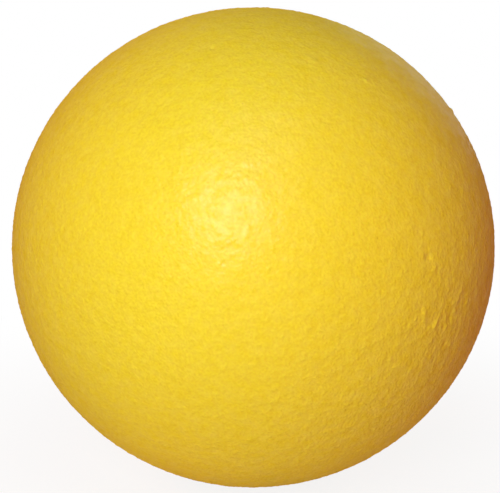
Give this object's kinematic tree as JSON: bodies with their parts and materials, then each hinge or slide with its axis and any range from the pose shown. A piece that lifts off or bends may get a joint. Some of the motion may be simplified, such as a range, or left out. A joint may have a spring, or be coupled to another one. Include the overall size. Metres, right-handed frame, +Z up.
{
  "type": "dodgeball",
  "caption": "Coated-foam dodgeball: a soft foam core in a clear sealing coat and a pebbled yellow skin, with the spray spike's hole closed by a small domed plug.",
  "frame": {"origin": "centre of the ball", "axes": "+Z up as the ball lies, +X to the right of the viewer, +Y away from the viewer; the spike's axis leans from +Z towards +X"},
  "size_m": [0.178, 0.178, 0.178],
  "materials": {
    "foam": "matte",
    "sealer": "satin",
    "yellow_skin": "satin",
    "plug_coating": "satin"
  },
  "bodies": {
    "root": {"foam_core": "foam", "sealing_coat": "sealer", "colour_skin": "yellow_skin", "spike_hole_plug": "plug_coating"}
  },
  "joints": []
}
